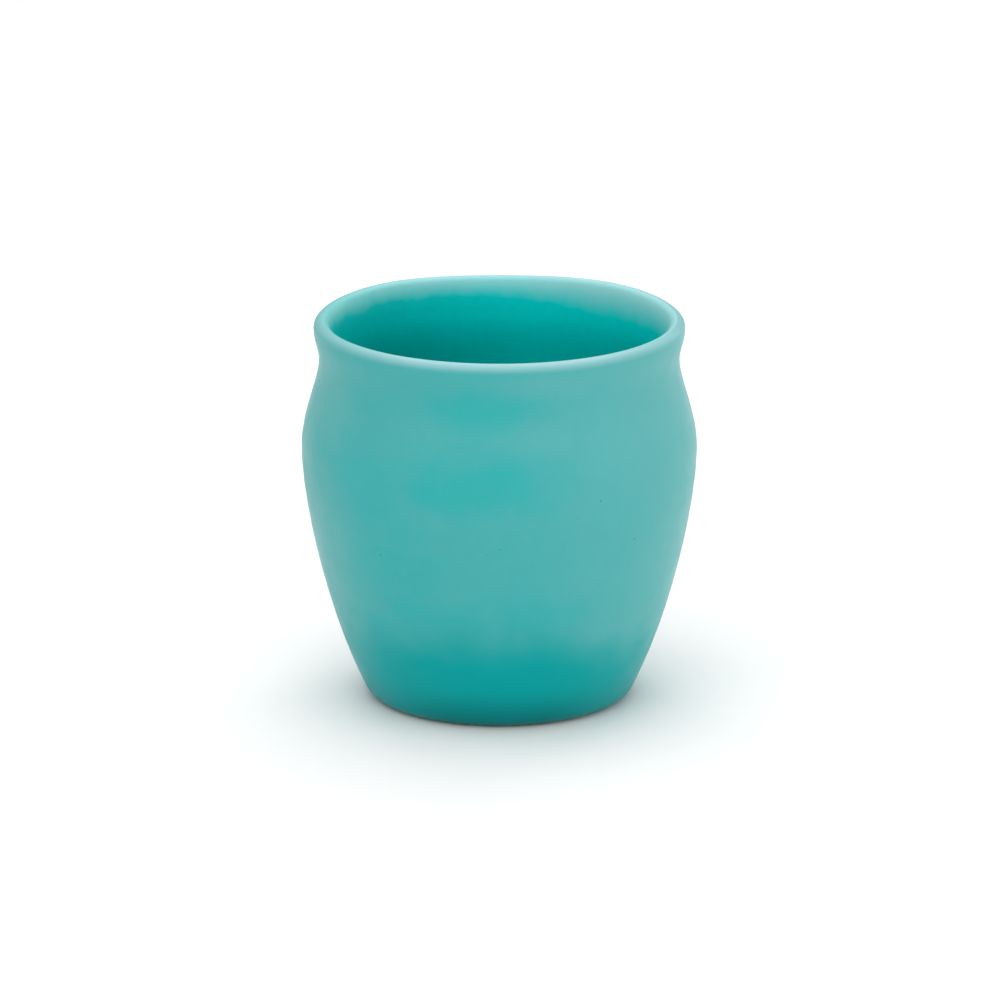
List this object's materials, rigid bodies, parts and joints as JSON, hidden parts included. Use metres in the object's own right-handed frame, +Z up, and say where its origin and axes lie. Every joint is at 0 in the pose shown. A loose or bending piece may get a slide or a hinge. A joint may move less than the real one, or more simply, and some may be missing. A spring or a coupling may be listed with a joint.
{
  "type": "handleless cup",
  "caption": "Handleless vase-shaped cup of glazed clay: a narrow foot, a full belly, a drawn-in neck and a flared round rim, for tea or other drinks.",
  "frame": {"origin": "on the table, at the middle of the foot ring", "axes": "+Z up along the cup's axis; the cup is round, so X and Y lie anywhere in the table"},
  "size_m": [0.08, 0.08, 0.0787],
  "materials": {
    "teal_glaze": "satin gloss",
    "bare_clay": "unglazed, fine grained"
  },
  "bodies": {
    "root": {"clay_body": "bare_clay", "outer_glaze": "teal_glaze", "liner_glaze": "teal_glaze", "well_glaze": "teal_glaze"}
  },
  "joints": []
}
